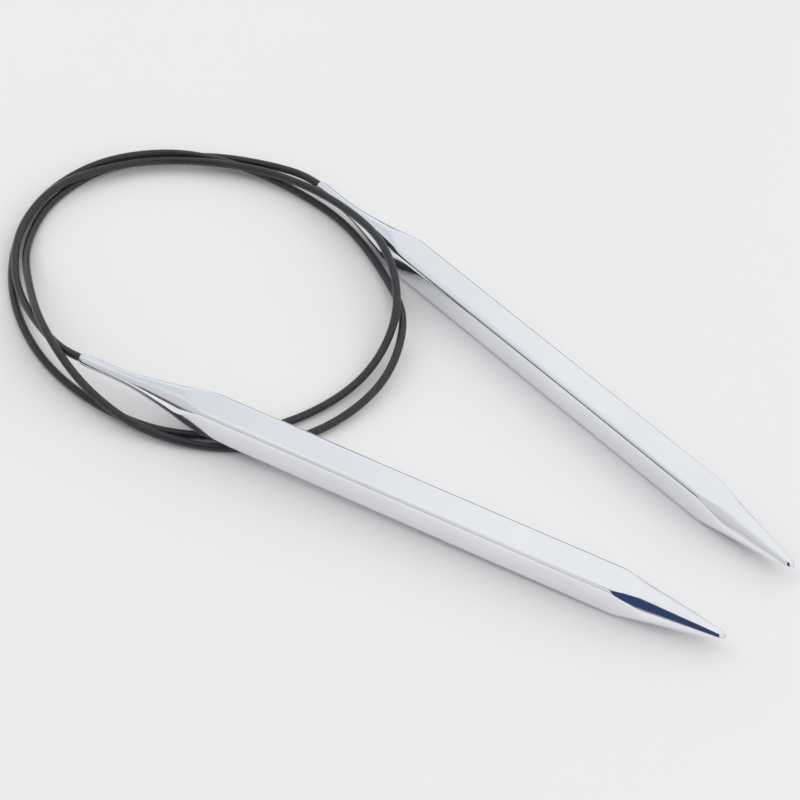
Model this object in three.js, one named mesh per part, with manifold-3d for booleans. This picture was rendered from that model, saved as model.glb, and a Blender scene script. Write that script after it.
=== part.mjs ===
// A fixed circular knitting needle: two square metal points joined by one long plastic cable.
// Millimetres, +Z up. The cable lies in a loose coil on -X, both points lead away along +X.
import * as THREE from 'three';
import Module from 'manifold-3d';

const wasm = await Module();
wasm.setup();

// Driving dimensions of one point, measured along its own axis from the tail mouth.
const POINT_LENGTH = 120.4;
const ACROSS_FLATS = 6;
const CORNER_RADIUS = 0.95;
const WALL = 0.5;
const CABLE_DIAMETER = 1.45;
const MOUTH_RADIUS = 0.86;
const NECK_RADIUS = 1.12;
const NECK_LIP = 1.6;
const BORE_RADIUS = 0.75;
const BORE_LENGTH = 9.2;
const CAVITY_START = 11;
const CAVITY_END = 115;
const TAIL_SHOULDER = 25.8;
const TAIL_SLOPE = 0.17;
const TAIL_BLEND = 0.7;
const TIP_SHOULDER = 101.9;
const TIP_SLOPE = 0.165;
const NOSE_LENGTH = 1.7;
// Where the turned outlines of the tail and of the space inside it have their rings.
const TAIL_RINGS = [0.4, 0.9, NECK_LIP, 4, 6, 7.5, 9, 10, 11, 12, 13.5, 15];
const CAVITY_RINGS = [CAVITY_START, 12, 13.5, 15];

// The crimp sleeve on each end of the cable sits in the flare, behind the neck.
const SLEEVE_START = 13.8;
const SLEEVE_LENGTH = 6;
const SLEEVE_RADIUS = 0.95;
const SLEEVE_BORE = 0.74;
const CRIMP_DEPTH = 0.12;
const SLEEVE_RIM = 1.5;
const CRIMP_SLOPE_LENGTH = 0.5;

// Each point: its mouth centre, its heading in the plan, and how far its tail is propped up.
const FRONT_POINT = { mouth: [-59.27, -31.28, 5.71], heading: 10.6, tilt: 1.45 };
const BACK_POINT = { mouth: [-58.42, 31.3, 3], heading: -10.6, tilt: 0 };

const CABLE_SIDES = 8;
const CABLE_STEPS = 80;
const LATHE_SIDES = 48;
const SLEEVE_SIDES = 24;
const NOSE_STEPS = 5;
const CORNER_SIDES = 6;
// Beyond its shoulders the turned outline stands clear of the bar's corners by this much.
const CLEAR_OF_CORNERS = 0.3;
// A shape that only cuts another runs past its ends by this much.
const OVERSHOOT = 1;
// Corners closer than one part of this many in a millimetre are the same corner.
const CORNER_GRID = 1e5;

// The cable's centreline, from the front mouth round the coil to the back mouth.
const CABLE_ROUTE = [
  [-59.56, -31.33, 5.72],
  [-61, -31.6, 5.7],
  [-63.9, -31.6, 5.4],
  [-82.8, -24, 2.5],
  [-94, -12.6, 2.3],
  [-97.2, 0.3, 2.4],
  [-91.6, 13.7, 2.1],
  [-80.5, 23.3, 2.2],
  [-66.1, 28.5, 3.1],
  [-49.8, 28.1, 4.6],
  [-34.8, 22.3, 6.5],
  [-25.1, 13.2, 4.3],
  [-21.3, 1.1, 1.6],
  [-22.9, -12, 0.9],
  [-29.5, -24, 0.8],
  [-40.4, -31.9, 0.8],
  [-54.1, -34.5, 1],
  [-68.8, -32.4, 0.8],
  [-82.5, -25.6, 0.8],
  [-93.1, -14.9, 0.8],
  [-98.4, -2.6, 1],
  [-96.1, 10.2, 2.1],
  [-86.7, 21.3, 2.4],
  [-74.1, 27.6, 1.3],
  [-61.9, 29.1, 0.8],
  [-48.8, 27.6, 0.9],
  [-32.2, 20.2, 1],
  [-22.8, 12.2, 2.9],
  [-17.6, -0.2, 1.7],
  [-19.4, -14.9, 0.9],
  [-28, -27.1, 0.8],
  [-41.8, -34, 1.7],
  [-54.4, -34.9, 4.3],
  [-67.1, -31.5, 6.8],
  [-80.2, -23.4, 4.3],
  [-91.3, -13.4, 1.2],
  [-96.4, -1.8, 0.8],
  [-94.5, 12.3, 0.8],
  [-82.6, 25.6, 0.9],
  [-65.5, 31.9, 2.2],
  [-60.2, 31.6, 3],
  [-58.71, 31.36, 3],
];

function halfDiagonal(acrossFlats, cornerRadius) {
  return (acrossFlats / 2 - cornerRadius) * Math.SQRT2 + cornerRadius;
}

function smoothMax(a, b, blend) {
  const closeness = Math.max(blend - Math.abs(a - b), 0) / blend;
  return Math.max(a, b) + closeness * closeness * blend / 4;
}

// Outer radius of the swaged round tail at a distance x from its mouth.
function tailRadius(x) {
  const cone = halfDiagonal(ACROSS_FLATS, CORNER_RADIUS) + TAIL_SLOPE * (x - TAIL_SHOULDER);
  const lip = Math.min(x / NECK_LIP, 1);
  const neck = MOUTH_RADIUS + (NECK_RADIUS - MOUTH_RADIUS) * Math.sqrt(lip * (2 - lip));
  return smoothMax(neck, cone, TAIL_BLEND);
}

function toManifold(geometry) {
  const source = geometry.index ? geometry.toNonIndexed() : geometry;
  const position = source.getAttribute('position');
  const corners = new Map();
  const vertices = [];
  const triangles = [];
  for (let i = 0; i < position.count; i += 1) {
    const point = [position.getX(i), position.getY(i), position.getZ(i)];
    const key = point.map((value) => Math.round(value * CORNER_GRID)).join(',');
    if (!corners.has(key)) {
      corners.set(key, vertices.length / 3);
      vertices.push(...point);
    }
    triangles.push(corners.get(key));
  }
  const whole = [];
  for (let i = 0; i < triangles.length; i += 3) {
    const [a, b, c] = triangles.slice(i, i + 3);
    if (a !== b && b !== c && c !== a) {
      whole.push(a, b, c);
    }
  }
  return new wasm.Manifold(new wasm.Mesh({
    numProp: 3,
    vertProperties: new Float32Array(vertices),
    triVerts: new Uint32Array(whole),
  }));
}

function toGeometry(solid) {
  const mesh = solid.getMesh();
  const geometry = new THREE.BufferGeometry();
  geometry.setAttribute('position', new THREE.BufferAttribute(new Float32Array(mesh.vertProperties), 3));
  geometry.setIndex(new THREE.BufferAttribute(new Uint32Array(mesh.triVerts), 1));
  geometry.computeVertexNormals();
  return geometry;
}

// A solid of revolution about +X from [radius, x] pairs.
function turned(profile, sides = LATHE_SIDES) {
  const points = profile.map(([radius, x]) => new THREE.Vector2(radius, x));
  const geometry = new THREE.LatheGeometry(points, sides);
  geometry.rotateZ(-Math.PI / 2);
  return geometry;
}

// A square bar with round corners along +X.
function squareBar(acrossFlats, cornerRadius, start, length) {
  const half = acrossFlats / 2;
  const core = half - cornerRadius;
  const outline = new THREE.Shape();
  outline.moveTo(half, -core);
  outline.absarc(core, core, cornerRadius, 0, Math.PI / 2, false);
  outline.absarc(-core, core, cornerRadius, Math.PI / 2, Math.PI, false);
  outline.absarc(-core, -core, cornerRadius, Math.PI, Math.PI * 1.5, false);
  outline.absarc(core, -core, cornerRadius, Math.PI * 1.5, Math.PI * 2, false);
  const options = { depth: length, bevelEnabled: false, curveSegments: CORNER_SIDES };
  const geometry = new THREE.ExtrudeGeometry(outline, options);
  geometry.rotateY(Math.PI / 2);
  geometry.translate(start, 0, 0);
  return geometry;
}

// Outer radius of the tip's cone at a distance x from the mouth.
function tipRadius(x) {
  return halfDiagonal(ACROSS_FLATS, CORNER_RADIUS) - TIP_SLOPE * (x - TIP_SHOULDER);
}

// The turned outline of a whole point: mouth, neck, flare, body and round tip.
function outerProfile() {
  const clear = halfDiagonal(ACROSS_FLATS, CORNER_RADIUS) + CLEAR_OF_CORNERS;
  const profile = [[0, 0], [MOUTH_RADIUS, 0]];
  for (const x of TAIL_RINGS) {
    profile.push([tailRadius(x), x]);
  }
  profile.push([clear, TAIL_SHOULDER + CLEAR_OF_CORNERS / TAIL_SLOPE]);
  profile.push([clear, TIP_SHOULDER - CLEAR_OF_CORNERS / TIP_SLOPE]);
  const noseStart = POINT_LENGTH - NOSE_LENGTH;
  for (let i = 0; i <= NOSE_STEPS; i += 1) {
    const angle = (i / NOSE_STEPS) * (Math.PI / 2);
    const radius = i === NOSE_STEPS ? 0 : tipRadius(noseStart) * Math.cos(angle);
    profile.push([radius, noseStart + NOSE_LENGTH * Math.sin(angle)]);
  }
  return profile;
}

// The hollow inside a point: a bore through the neck, then the space inside the wall.
function innerProfile() {
  const widest = halfDiagonal(ACROSS_FLATS, CORNER_RADIUS);
  const profile = [[0, -OVERSHOOT], [BORE_RADIUS, -OVERSHOOT], [BORE_RADIUS, BORE_LENGTH]];
  for (const x of CAVITY_RINGS) {
    profile.push([tailRadius(x) - WALL, x]);
  }
  profile.push([widest - WALL, TAIL_SHOULDER]);
  profile.push([widest - WALL, TIP_SHOULDER]);
  profile.push([tipRadius(CAVITY_END) - WALL, CAVITY_END]);
  profile.push([0, CAVITY_END]);
  return profile;
}

// One hollow point, swaged from square tube, with its mouth at the origin and its tip on +X.
function pointShell() {
  const barLength = POINT_LENGTH + 2 * OVERSHOOT;
  const bar = toManifold(squareBar(ACROSS_FLATS, CORNER_RADIUS, -OVERSHOOT, barLength));
  const outside = bar.intersect(toManifold(turned(outerProfile())));
  const innerFlats = ACROSS_FLATS - 2 * WALL;
  const innerBar = toManifold(squareBar(innerFlats, CORNER_RADIUS - WALL, -2 * OVERSHOOT, barLength));
  const hollow = innerBar.intersect(toManifold(turned(innerProfile())));
  return toGeometry(outside.subtract(hollow));
}

// The crimped sleeve that keeps the cable's end from pulling out through the neck.
function crimpSleeve() {
  const end = SLEEVE_START + SLEEVE_LENGTH;
  const waist = SLEEVE_RADIUS - CRIMP_DEPTH;
  const crimpStart = SLEEVE_START + SLEEVE_RIM;
  const crimpEnd = end - SLEEVE_RIM;
  return turned([
    [SLEEVE_BORE, SLEEVE_START],
    [SLEEVE_RADIUS, SLEEVE_START],
    [SLEEVE_RADIUS, crimpStart],
    [waist, crimpStart + CRIMP_SLOPE_LENGTH],
    [waist, crimpEnd - CRIMP_SLOPE_LENGTH],
    [SLEEVE_RADIUS, crimpEnd],
    [SLEEVE_RADIUS, end],
    [SLEEVE_BORE, end],
    [SLEEVE_BORE, SLEEVE_START],
  ], SLEEVE_SIDES);
}

function cableTube() {
  const points = CABLE_ROUTE.map(([x, y, z]) => new THREE.Vector3(x, y, z));
  const curve = new THREE.CatmullRomCurve3(points, false, 'centripetal');
  const section = new THREE.Shape();
  for (let i = 0; i < CABLE_SIDES; i += 1) {
    const angle = ((i + 0.5) / CABLE_SIDES) * Math.PI * 2;
    const corner = [Math.cos(angle) * CABLE_DIAMETER / 2, Math.sin(angle) * CABLE_DIAMETER / 2];
    if (i === 0) {
      section.moveTo(...corner);
    } else {
      section.lineTo(...corner);
    }
  }
  section.closePath();
  return new THREE.ExtrudeGeometry(section, { steps: CABLE_STEPS, extrudePath: curve, bevelEnabled: false });
}

function platedMetal() {
  return new THREE.MeshStandardMaterial({ color: 0xc9ced4, roughness: 0.12, metalness: 1 });
}

function bareBrass() {
  return new THREE.MeshStandardMaterial({ color: 0xb5964a, roughness: 0.35, metalness: 1 });
}

function blackPlastic() {
  return new THREE.MeshStandardMaterial({ color: 0x26262a, roughness: 0.42, metalness: 0 });
}

function named(name, geometry, material) {
  const mesh = new THREE.Mesh(geometry, material);
  mesh.name = name;
  return mesh;
}

// Lays a piece of a point, made along +X from its mouth, in that point's place.
function laidDown(mesh, place) {
  mesh.geometry.rotateY(THREE.MathUtils.degToRad(place.tilt));
  mesh.geometry.rotateZ(THREE.MathUtils.degToRad(place.heading));
  mesh.geometry.translate(...place.mouth);
  return mesh;
}

const needle = new THREE.Group();
needle.name = 'circular_knitting_needle';
for (const [side, place] of [['front', FRONT_POINT], ['back', BACK_POINT]]) {
  needle.add(laidDown(named(`${side}_point_shell`, pointShell(), platedMetal()), place));
  needle.add(laidDown(named(`${side}_crimp_sleeve`, crimpSleeve(), bareBrass()), place));
}
needle.add(named('cable', cableTube(), blackPlastic()));

export default needle;
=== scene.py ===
# A fixed circular knitting needle: two chromed square points and one black cable in a loose coil.
# Metres, +Z up, in the CAD frame. The coil lies on -X and both points lead away along +X.
import math

import bmesh
import bpy
import numpy as np
from mathutils import Matrix, Vector


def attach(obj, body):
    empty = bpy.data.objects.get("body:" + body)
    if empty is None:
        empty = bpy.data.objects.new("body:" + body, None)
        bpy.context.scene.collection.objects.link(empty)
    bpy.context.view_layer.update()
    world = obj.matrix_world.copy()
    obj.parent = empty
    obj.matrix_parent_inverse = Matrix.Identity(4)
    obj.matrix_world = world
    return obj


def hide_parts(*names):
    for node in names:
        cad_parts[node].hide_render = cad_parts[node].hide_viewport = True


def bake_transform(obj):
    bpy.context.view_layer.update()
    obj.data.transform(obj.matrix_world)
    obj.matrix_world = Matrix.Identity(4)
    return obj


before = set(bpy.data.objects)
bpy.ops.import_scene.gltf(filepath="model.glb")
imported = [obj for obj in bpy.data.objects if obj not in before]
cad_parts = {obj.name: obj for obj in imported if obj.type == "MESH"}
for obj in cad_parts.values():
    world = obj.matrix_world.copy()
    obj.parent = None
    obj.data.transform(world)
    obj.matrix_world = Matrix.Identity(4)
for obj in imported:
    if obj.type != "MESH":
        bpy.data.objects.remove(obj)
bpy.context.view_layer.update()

MM = 0.001

# One point, in millimetres along its own axis from the tail's mouth.
POINT_LENGTH = 120.4
ACROSS_FLATS = 6.0
CORNER_RADIUS = 0.95
WALL = 0.5
MOUTH_RADIUS = 0.86
NECK_RADIUS = 1.12
NECK_LIP = 1.6
TAIL_SHOULDER = 25.8
TAIL_SLOPE = 0.17
TAIL_BLEND = 0.7
TIP_SHOULDER = 101.9
TIP_SLOPE = 0.165
NOSE_LENGTH = 1.7
NOSE_START = POINT_LENGTH - NOSE_LENGTH
# How softly the flats run into the round tail and tip.
EDGE_BLEND = 0.14
BORE_RADIUS = 0.75
BORE_END = 9.2
CAVITY_START = 11.0
CAVITY_END = 115.0
PIN_HOLE_RADIUS = 0.17
PIN_HOLE_DEPTH = 0.5
# Between these two distances from the mouth a point is plain square bar.
BAR_START = 31.0
BAR_END = 97.0
RING_STEP = 0.25
POINTS = {
    "front": {"mouth": (-59.27, -31.28, 5.71), "heading": 10.6, "tilt": 1.45},
    "back": {"mouth": (-58.42, 31.3, 3.0), "heading": -10.6, "tilt": 0.0},
}

# The cable's centreline between the two mouths, in millimetres.
CABLE_DIAMETER = 1.45
CABLE_INSIDE = 20.0
CABLE_SIDES = 20
CABLE_STEP = 0.8
CABLE_ROUTE = [
    (-59.56, -31.33, 5.72), (-61, -31.6, 5.7), (-63.9, -31.6, 5.4), (-82.8, -24, 2.5),
    (-94, -12.6, 2.3), (-97.2, 0.3, 2.4), (-91.6, 13.7, 2.1), (-80.5, 23.3, 2.2),
    (-66.1, 28.5, 3.1), (-49.8, 28.1, 4.6), (-34.8, 22.3, 6.5), (-25.1, 13.2, 4.3),
    (-21.3, 1.1, 1.6), (-22.9, -12, 0.9), (-29.5, -24, 0.8), (-40.4, -31.9, 0.8),
    (-54.1, -34.5, 1), (-68.8, -32.4, 0.8), (-82.5, -25.6, 0.8), (-93.1, -14.9, 0.8),
    (-98.4, -2.6, 1), (-96.1, 10.2, 2.1), (-86.7, 21.3, 2.4), (-74.1, 27.6, 1.3),
    (-61.9, 29.1, 0.8), (-48.8, 27.6, 0.9), (-32.2, 20.2, 1), (-22.8, 12.2, 2.9),
    (-17.6, -0.2, 1.7), (-19.4, -14.9, 0.9), (-28, -27.1, 0.8), (-41.8, -34, 1.7),
    (-54.4, -34.9, 4.3), (-67.1, -31.5, 6.8), (-80.2, -23.4, 4.3), (-91.3, -13.4, 1.2),
    (-96.4, -1.8, 0.8), (-94.5, 12.3, 0.8), (-82.6, 25.6, 0.9), (-65.5, 31.9, 2.2),
    (-60.2, 31.6, 3), (-58.71, 31.36, 3),
]


# ---------------------------------------------------------------- camera

CAMERA_LENS = 95.2
CAMERA_AIM = (-0.01365, 0.0, 0.0)
CAMERA_AZIMUTH = 38.6
CAMERA_ELEVATION = 47.17
CAMERA_ROLL = 0.43
CAMERA_DISTANCE = 0.3669

def make_camera():
    data = bpy.data.cameras.new("camera")
    data.sensor_width = 36.0
    data.lens = CAMERA_LENS
    data.clip_start = 0.01
    data.clip_end = 20.0
    camera = bpy.data.objects.new("camera", data)
    bpy.context.scene.collection.objects.link(camera)
    aim = Vector(CAMERA_AIM)
    azimuth, elevation = math.radians(CAMERA_AZIMUTH), math.radians(CAMERA_ELEVATION)
    back = Vector((
        math.sin(azimuth) * math.cos(elevation),
        -math.cos(azimuth) * math.cos(elevation),
        math.sin(elevation),
    ))
    level = (-back).to_track_quat("-Z", "Y").to_matrix()
    roll = Matrix.Rotation(math.radians(CAMERA_ROLL), 3, "Z")
    camera.matrix_world = Matrix.Translation(aim + back * CAMERA_DISTANCE) @ (level @ roll).to_4x4()
    bpy.context.scene.camera = camera


# ---------------------------------------------------------------- cable

def catmull_rom(points, per_span):
    """A centripetal Catmull-Rom curve through the points."""
    p = np.array(points, float)
    p = np.vstack([2 * p[0] - p[1], p, 2 * p[-1] - p[-2]])
    out = []
    for i in range(1, len(p) - 2):
        p0, p1, p2, p3 = p[i - 1:i + 3]
        d0, d1, d2 = (math.sqrt(np.linalg.norm(b - a)) for a, b in ((p0, p1), (p1, p2), (p2, p3)))
        m1 = ((p1 - p0) / d0 - (p2 - p0) / (d0 + d1) + (p2 - p1) / d1) * d1
        m2 = ((p2 - p1) / d1 - (p3 - p1) / (d1 + d2) + (p3 - p2) / d2) * d1
        for t in np.arange(per_span) / per_span:
            square = (-3 * p1 + 3 * p2 - 2 * m1 - m2) * t * t
            cube = (2 * p1 - 2 * p2 + m1 + m2) * t ** 3
            out.append(p1 + m1 * t + square + cube)
    out.append(p[-2])
    return np.array(out)


def evenly(line, step):
    """The same line with its points the given step apart."""
    along = np.concatenate([[0], np.cumsum(np.linalg.norm(np.diff(line, axis=0), axis=1))])
    at = np.linspace(0, along[-1], int(round(along[-1] / step)) + 1)
    return np.stack([np.interp(at, along, line[:, k]) for k in range(3)], axis=1)


def softened(line, width):
    """A running average that leaves both ends where they are."""
    reach = 3 * width
    weights = np.exp(-0.5 * (np.arange(-reach, reach + 1) / width) ** 2)
    weights /= weights.sum()
    before = 2 * line[0] - line[reach:0:-1]
    after = 2 * line[-1] - line[-2:-reach - 2:-1]
    padded = np.vstack([before, line, after])
    return np.stack([np.convolve(padded[:, k], weights, "valid") for k in range(3)], axis=1)


def point_direction(place):
    tilt, heading = math.radians(place["tilt"]), math.radians(place["heading"])
    return np.array([
        math.cos(tilt) * math.cos(heading),
        math.cos(tilt) * math.sin(heading),
        -math.sin(tilt),
    ])


def cable_line():
    """The cable's centreline from inside one tail, round the coil and into the other, in millimetres."""
    free = softened(evenly(catmull_rom(CABLE_ROUTE, 24), CABLE_STEP), 3)
    ends = []
    for side in ("front", "back"):
        mouth = np.array(POINTS[side]["mouth"])
        inward = point_direction(POINTS[side])
        ends.append([mouth + inward * d for d in np.arange(0.4, CABLE_INSIDE + 0.1, CABLE_STEP)])
    return np.vstack([ends[0][::-1], free, ends[1]])


def tube_mesh(name, line, radius, sides):
    """A closed round tube along a line, with parallel-transported rings, so that it never twists."""
    tangents = np.gradient(line, axis=0)
    tangents /= np.linalg.norm(tangents, axis=1)[:, None]
    normal = np.cross(tangents[0], [0.0, 0.0, 1.0])
    verts, faces = [], []
    for i, (centre, tangent) in enumerate(zip(line, tangents)):
        normal = normal - tangent * (normal @ tangent)
        normal /= np.linalg.norm(normal)
        other = np.cross(tangent, normal)
        for k in range(sides):
            turn = 2 * math.pi * k / sides
            verts.append(centre + radius * (math.cos(turn) * normal + math.sin(turn) * other))
        if i:
            a, b = (i - 1) * sides, i * sides
            for k in range(sides):
                n = (k + 1) % sides
                faces.append((a + k, a + n, b + n, b + k))
    for ring, flip in ((0, True), (len(line) - 1, False)):
        middle = len(verts)
        verts.append(line[ring])
        for k in range(sides):
            pair = (ring * sides + k, ring * sides + (k + 1) % sides)
            faces.append((middle, pair[1], pair[0]) if flip else (middle, pair[0], pair[1]))
    return finished_mesh(name, np.array(verts) * MM, faces)


def finished_mesh(name, verts, faces):
    mesh = bpy.data.meshes.new(name)
    mesh.from_pydata([tuple(v) for v in verts], [], faces)
    bm = bmesh.new()
    bm.from_mesh(mesh)
    bmesh.ops.recalc_face_normals(bm, faces=bm.faces)
    bm.to_mesh(mesh)
    bm.free()
    for polygon in mesh.polygons:
        polygon.use_smooth = True
    obj = bpy.data.objects.new(name, mesh)
    bpy.context.scene.collection.objects.link(obj)
    return obj


def make_cable(material):
    line = cable_line()
    cable = tube_mesh("coiled_cable", line, CABLE_DIAMETER / 2, CABLE_SIDES)
    cable.data.materials.append(material)
    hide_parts("cable")
    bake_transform(cable)
    return cable


# ---------------------------------------------------------------- points

def smooth_min(a, b, blend):
    closeness = np.maximum(blend - np.abs(a - b), 0) / blend
    return np.minimum(a, b) - closeness * closeness * blend / 4


def half_diagonal(across, corner):
    return (across / 2 - corner) * math.sqrt(2) + corner


def square_outline(across, corner, per_flat=12, per_corner=10):
    """Angles and radii of a square with round corners, closely spaced round the corners."""
    half, core = across / 2, across / 2 - corner
    outline = []
    for quarter in range(4):
        turn = quarter * math.pi / 2
        local = [(half, y) for y in np.linspace(-core, core, per_flat, endpoint=False)]
        for a in np.linspace(0, math.pi / 2, per_corner, endpoint=False):
            local.append((core + corner * math.cos(a), core + corner * math.sin(a)))
        for x, y in local:
            outline.append((math.atan2(y, x) + turn, math.hypot(x, y)))
    return np.array(outline).T


def square_radius(angles, across, corner):
    """Radius of a round-cornered square at any angle."""
    folded = np.abs((angles + math.pi / 4) % (math.pi / 2) - math.pi / 4)
    half, core = across / 2, across / 2 - corner
    flat = half / np.cos(folded)
    lean = math.pi / 4 - folded
    reach = core * math.sqrt(2)
    arc = reach * np.cos(lean) + np.sqrt(np.maximum(corner ** 2 - (reach * np.sin(lean)) ** 2, 0))
    return np.where(half * np.tan(folded) > core, arc, flat)


def tail_radius(x):
    lip = min(x / NECK_LIP, 1)
    neck = MOUTH_RADIUS + (NECK_RADIUS - MOUTH_RADIUS) * math.sqrt(max(lip * (2 - lip), 0))
    cone = half_diagonal(ACROSS_FLATS, CORNER_RADIUS) + TAIL_SLOPE * (x - TAIL_SHOULDER)
    return -float(smooth_min(np.array(-neck), np.array(-cone), TAIL_BLEND))


def tip_radius(x):
    return half_diagonal(ACROSS_FLATS, CORNER_RADIUS) - TIP_SLOPE * (x - TIP_SHOULDER)


def outer_rings(angles):
    square = square_radius(angles, ACROSS_FLATS, CORNER_RADIUS)
    stations = np.concatenate([
        np.linspace(0.12, NECK_LIP, 8), np.arange(2.0, 8.0, 0.5), np.arange(8.0, BAR_START, RING_STEP),
        np.linspace(BAR_START, BAR_END, 34), np.arange(BAR_END + RING_STEP, NOSE_START, RING_STEP),
    ])
    rings = []
    for x in stations:
        turned = tail_radius(x) if x < POINT_LENGTH / 2 else tip_radius(x)
        rings.append((x, smooth_min(square, np.full_like(square, turned), EDGE_BLEND)))
    nose_radius = tip_radius(NOSE_START)
    for a in np.linspace(0, math.acos(PIN_HOLE_RADIUS / nose_radius), 14):
        x = NOSE_START + NOSE_LENGTH * math.sin(a)
        rings.append((x, np.full_like(square, nose_radius * math.cos(a))))
    rings.append((x - 0.03, np.full_like(square, PIN_HOLE_RADIUS - 0.02)))
    rings.append((x - PIN_HOLE_DEPTH, np.full_like(square, PIN_HOLE_RADIUS - 0.03)))
    return rings


def inner_rings(angles):
    square = square_radius(angles, ACROSS_FLATS - 2 * WALL, CORNER_RADIUS - WALL)
    rings = [(x, np.full_like(square, BORE_RADIUS)) for x in (0.0, 0.3, 2.0, 5.0, BORE_END)]
    stations = np.concatenate([
        np.arange(CAVITY_START, BAR_START, 2 * RING_STEP), np.linspace(BAR_START, BAR_END + 1, 18),
        np.arange(BAR_END + 2, CAVITY_END, 2 * RING_STEP),
    ])
    for x in stations:
        turned = (tail_radius(x) if x < POINT_LENGTH / 2 else tip_radius(x)) - WALL
        rings.append((x, smooth_min(square, np.full_like(square, turned), EDGE_BLEND)))
    return rings


def make_point(side, material):
    """One hollow point: its outer skin, the rolled lip at its mouth, and the cavity inside."""
    angles = square_outline(ACROSS_FLATS, CORNER_RADIUS)[0]
    count = len(angles)
    lip = [(0.03, np.full(count, MOUTH_RADIUS - 0.03)), (0.0, np.full(count, MOUTH_RADIUS - 0.06))]
    rings = inner_rings(angles)[::-1] + lip[::-1] + outer_rings(angles)
    verts, faces = [], []
    for i, (x, radii) in enumerate(rings):
        for a, r in zip(angles, radii):
            verts.append((x, r * math.cos(a), r * math.sin(a)))
        if i:
            low, high = (i - 1) * count, i * count
            for k in range(count):
                n = (k + 1) % count
                faces.append((low + k, low + n, high + n, high + k))
    for ring, x in ((0, CAVITY_END), (len(rings) - 1, rings[-1][0])):
        pole = len(verts)
        verts.append((x, 0.0, 0.0))
        for k in range(count):
            faces.append((pole, ring * count + k, ring * count + (k + 1) % count))
    place = POINTS[side]
    laid = (
        Matrix.Translation(Vector(place["mouth"]) * MM)
        @ Matrix.Rotation(math.radians(place["heading"]), 4, "Z")
        @ Matrix.Rotation(math.radians(place["tilt"]), 4, "Y")
    )
    placed = [laid @ (Vector(v) * MM) for v in verts]
    point = finished_mesh(f"{side}_point", placed, faces)
    point.data.materials.append(material)
    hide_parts(f"{side}_point_shell")
    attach(point, f"{side}_point")
    return point


# ---------------------------------------------------------------- materials

def new_material(name, base, roughness, metallic):
    material = bpy.data.materials.new(name)
    material.use_nodes = True
    shader = material.node_tree.nodes["Principled BSDF"]
    shader.inputs["Base Color"].default_value = (*base, 1)
    shader.inputs["Roughness"].default_value = roughness
    shader.inputs["Metallic"].default_value = metallic
    return material, material.node_tree, shader


def noise(tree, scale, detail=3.0, stretch=(1, 1, 1)):
    """Noise in object space, stretched along an axis where a finish has a direction."""
    where = tree.nodes.new("ShaderNodeTexCoord")
    mapping = tree.nodes.new("ShaderNodeMapping")
    mapping.inputs["Scale"].default_value = stretch
    texture = tree.nodes.new("ShaderNodeTexNoise")
    texture.inputs["Scale"].default_value = scale
    texture.inputs["Detail"].default_value = detail
    tree.links.new(where.outputs["Object"], mapping.inputs["Vector"])
    tree.links.new(mapping.outputs["Vector"], texture.inputs["Vector"])
    return texture.outputs["Fac"]


def spread(tree, value, low, high):
    remap = tree.nodes.new("ShaderNodeMapRange")
    remap.inputs["From Min"].default_value = 0.3
    remap.inputs["From Max"].default_value = 0.7
    remap.inputs["To Min"].default_value = low
    remap.inputs["To Max"].default_value = high
    tree.links.new(value, remap.inputs["Value"])
    return remap.outputs["Result"]


def tint(tree, value, dark, light):
    ramp = tree.nodes.new("ShaderNodeValToRGB")
    ramp.color_ramp.elements[0].position = 0.3
    ramp.color_ramp.elements[1].position = 0.7
    ramp.color_ramp.elements[0].color = (*dark, 1)
    ramp.color_ramp.elements[1].color = (*light, 1)
    tree.links.new(value, ramp.inputs["Fac"])
    return ramp.outputs["Color"]


def bump(tree, shader, value, distance, strength):
    node = tree.nodes.new("ShaderNodeBump")
    node.inputs["Distance"].default_value = distance
    node.inputs["Strength"].default_value = strength
    tree.links.new(value, node.inputs["Height"])
    tree.links.new(node.outputs["Normal"], shader.inputs["Normal"])


def chrome():
    material, tree, shader = new_material("mirror_plating", (0.83, 0.86, 0.9), 0.07, 1.0)
    film = noise(tree, 60, 4.0)
    colour = tint(tree, film, (0.915, 0.93, 0.955), (0.955, 0.965, 0.985))
    tree.links.new(colour, shader.inputs["Base Color"])
    tree.links.new(spread(tree, film, 0.045, 0.10), shader.inputs["Roughness"])
    bump(tree, shader, noise(tree, 2200, 3.0, (0.4, 1, 1)), 0.000006, 0.75)
    return material


def cable_plastic():
    material, tree, shader = new_material("black_cable_plastic", (0.024, 0.0235, 0.026), 0.42, 0.0)
    grain = noise(tree, 500, 4.0)
    colour = tint(tree, grain, (0.021, 0.0205, 0.023), (0.030, 0.0295, 0.032))
    tree.links.new(colour, shader.inputs["Base Color"])
    tree.links.new(spread(tree, grain, 0.22, 0.31), shader.inputs["Roughness"])
    bump(tree, shader, noise(tree, 2600, 2.0), 0.00001, 0.15)
    return material


def bare_brass():
    material, tree, shader = new_material("drawn_brass", (0.71, 0.53, 0.24), 0.32, 1.0)
    drawn = noise(tree, 1500, 3.0, (0.08, 1, 1))
    tree.links.new(tint(tree, drawn, (0.62, 0.45, 0.19), (0.76, 0.58, 0.28)), shader.inputs["Base Color"])
    tree.links.new(spread(tree, drawn, 0.26, 0.42), shader.inputs["Roughness"])
    return material


# ---------------------------------------------------------------- floor and light

DOORWAY_BLUR = 0.02
WORLD_STRENGTH = 0.855

# Brightness of the walls by height on the unit sphere, from the dark skirting up.
WALL_HEIGHTS = [
    (0.07, (0.06, 0.06, 0.07)),
    (0.10, (0.72, 0.72, 0.74)),
    (0.18, (0.85, 0.85, 0.87)),
    (0.55, (0.90, 0.91, 0.93)),
]

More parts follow.
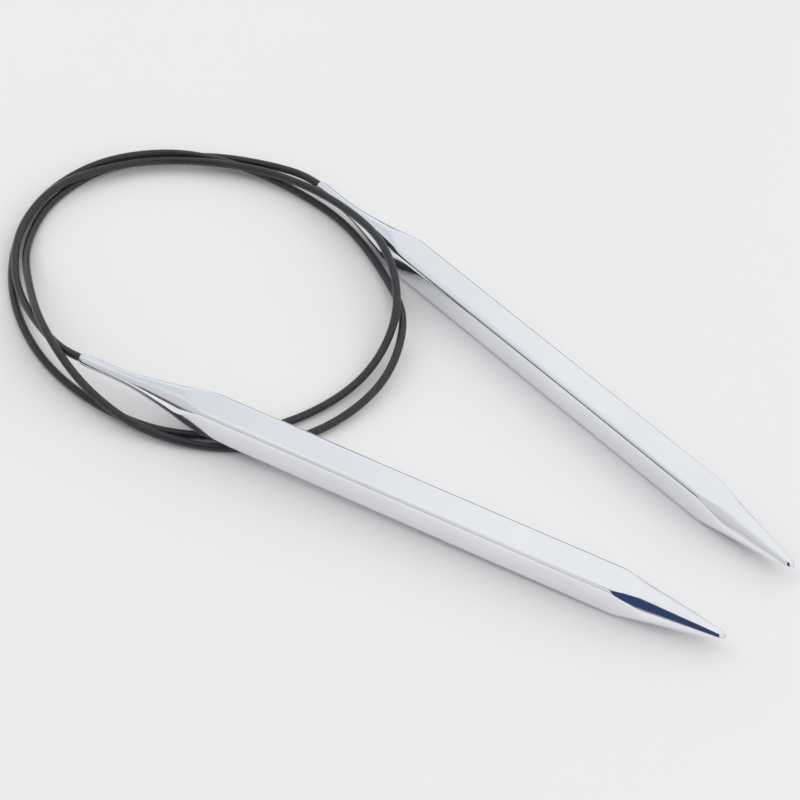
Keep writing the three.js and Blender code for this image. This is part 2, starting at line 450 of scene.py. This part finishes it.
# Soft round patches: direction, inner and outer angle in degrees, colour, strength.
WALL_PATCHES = [
    ((-0.42, 0.53, 0.73), 15, 75, (0.98, 0.99, 1.01), 1.0),
    ((-0.72, 0.25, 0.65), 8, 30, (0.74, 0.79, 0.86), 1.0),
    ((-0.14, -0.98, 0.08), 9, 18, (0.60, 0.57, 0.57), 1.0),
    ((-0.55, -0.70, 0.47), 4, 46, (0.60, 0.585, 0.64), 0.65),
    ((-0.66, -0.75, 0.08), 9, 17, (0.05, 0.055, 0.08), 1.0),
    ((-0.42, 0.90, 0.05), 8, 15, (0.14, 0.14, 0.16), 1.0),
]

# Area lights: name, place, aim, size, power.
AREA_LIGHTS = [
    ("key", (0.0, 0.60, 0.50), (-0.02, 0.05, 0), (0.60, 0.50), 0.50),
    ("overhead", (0, 0.05, 0.70), (0, 0, 0), (0.9, 0.9), 0.20),
    ("front_fill", (0.10, -0.60, 0.34), (0, 0, 0), (0.6, 0.6), 0.26),
    ("left_end", (-0.62, -0.04, 0.38), (-0.02, 0, 0), (0.5, 0.5), 0.87),
    ("right_end", (0.62, 0.04, 0.38), (-0.02, 0, 0), (0.5, 0.5), 1.10),
]

def make_floor():
    half = 3.0
    corners = [(-half, -half, 0), (half, -half, 0), (half, half, 0), (-half, half, 0)]
    floor = finished_mesh("floor", corners, [(0, 1, 2, 3)])
    material, tree, shader = new_material("pale_paper", (0.893, 0.883, 0.869), 0.75, 0.0)
    grain = noise(tree, 8, 3.0)
    colour = tint(tree, grain, (0.888, 0.878, 0.864), (0.900, 0.890, 0.876))
    tree.links.new(colour, shader.inputs["Base Color"])
    floor.data.materials.append(material)


def area_light(name, place, aim, size, power):
    """A soft light for shade and shadows. The polished metal reflects the studio's walls instead."""
    data = bpy.data.lights.new(name, "AREA")
    data.shape = "RECTANGLE"
    data.size, data.size_y = size
    data.energy = power
    light = bpy.data.objects.new(name, data)
    bpy.context.scene.collection.objects.link(light)
    light.location = place
    light.rotation_mode = "QUATERNION"
    light.rotation_quaternion = (Vector(aim) - Vector(place)).to_track_quat("-Z", "Y")
    light.visible_glossy = False


def soft_step(tree, value, low, high):
    """0 below low, 1 above high, and smooth between."""
    step = tree.nodes.new("ShaderNodeMapRange")
    step.interpolation_type = "SMOOTHSTEP"
    step.inputs["From Min"].default_value = low
    step.inputs["From Max"].default_value = high
    tree.links.new(value, step.inputs["Value"])
    return step.outputs["Result"]


def maths(tree, operation, a, b=None):
    node = tree.nodes.new("ShaderNodeMath")
    node.operation = operation
    tree.links.new(a, node.inputs[0])
    if isinstance(b, (int, float)):
        node.inputs[1].default_value = b
    elif b is not None:
        tree.links.new(b, node.inputs[1])
    return node.outputs["Value"]


def dot_with(tree, direction, axis):
    node = tree.nodes.new("ShaderNodeVectorMath")
    node.operation = "DOT_PRODUCT"
    node.inputs[1].default_value = Vector(axis).normalized()
    tree.links.new(direction, node.inputs[0])
    return node.outputs["Value"]


def laid_over(tree, below, colour, share):
    mix = tree.nodes.new("ShaderNodeMix")
    mix.data_type = "RGBA"
    mix.inputs["B"].default_value = (*colour, 1)
    tree.links.new(share, mix.inputs["Factor"])
    tree.links.new(below, mix.inputs["A"])
    return mix.outputs["Result"]


def add_patch(tree, direction, below, towards, inner, outer, colour, strength):
    """Lays a soft round patch of another colour over the studio's walls, in one direction."""
    low, high = math.cos(math.radians(outer)), math.cos(math.radians(inner))
    near = soft_step(tree, dot_with(tree, direction, towards), low, high)
    return laid_over(tree, below, colour, maths(tree, "MULTIPLY", near, strength))


def add_doorway(tree, direction, below, heading, half_width, foot, head, colour):
    """Lays a tall dark opening over the walls.

    Heading is clockwise from -Y in degrees, and foot and head are heights on the unit sphere.
    """
    a = math.radians(heading)
    sideways = maths(tree, "ABSOLUTE", dot_with(tree, direction, (math.cos(a), math.sin(a), 0)))
    height = dot_with(tree, direction, (0, 0, 1))
    above_foot = soft_step(tree, height, foot - DOORWAY_BLUR, foot + DOORWAY_BLUR)
    above_head = soft_step(tree, height, head - DOORWAY_BLUR, head + DOORWAY_BLUR)
    share = maths(tree, "SUBTRACT", above_foot, above_head)
    beside = soft_step(tree, sideways, half_width, half_width + 0.03)
    between = maths(tree, "ADD", maths(tree, "MULTIPLY", beside, -1.0), 1.0)
    share = maths(tree, "MULTIPLY", share, between)
    in_front = soft_step(tree, dot_with(tree, direction, (math.sin(a), -math.cos(a), 0)), 0.0, 0.1)
    return laid_over(tree, below, colour, maths(tree, "MULTIPLY", share, in_front))


def make_studio_walls():
    """Pale walls, brightest overhead and behind, dark at the skirting, with one dark doorway in front."""
    world = bpy.data.worlds.new("studio")
    world.use_nodes = True
    tree = world.node_tree
    direction = tree.nodes.new("ShaderNodeTexCoord").outputs["Generated"]
    height = tree.nodes.new("ShaderNodeValToRGB")
    stops = height.color_ramp.elements
    stops[0].position, stops[0].color = 0.0, (0.05, 0.05, 0.06, 1)
    stops[1].position, stops[1].color = 1.0, (0.93, 0.94, 0.955, 1)
    for position, colour in WALL_HEIGHTS:
        stops.new(position).color = (*colour, 1)
    tree.links.new(dot_with(tree, direction, (0, 0, 1)), height.inputs["Fac"])
    walls = height.outputs["Color"]
    for towards, inner, outer, colour, strength in WALL_PATCHES:
        walls = add_patch(tree, direction, walls, towards, inner, outer, colour, strength)
    walls = add_doorway(tree, direction, walls, 22, 0.235, 0.13, 0.90, (0.035, 0.06, 0.15))
    background = tree.nodes["Background"]
    tree.links.new(walls, background.inputs["Color"])
    background.inputs["Strength"].default_value = WORLD_STRENGTH
    bpy.context.scene.world = world


def make_light():
    bpy.context.scene.view_settings.view_transform = "Standard"
    make_studio_walls()
    for light in AREA_LIGHTS:
        area_light(*light)


make_camera()
make_cable(cable_plastic())
plating = chrome()
for side in POINTS:
    make_point(side, plating)
brass = bare_brass()
for name in ("front_crimp_sleeve", "back_crimp_sleeve"):
    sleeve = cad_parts[name]
    sleeve.data.materials.clear()
    sleeve.data.materials.append(brass)
make_floor()
make_light()
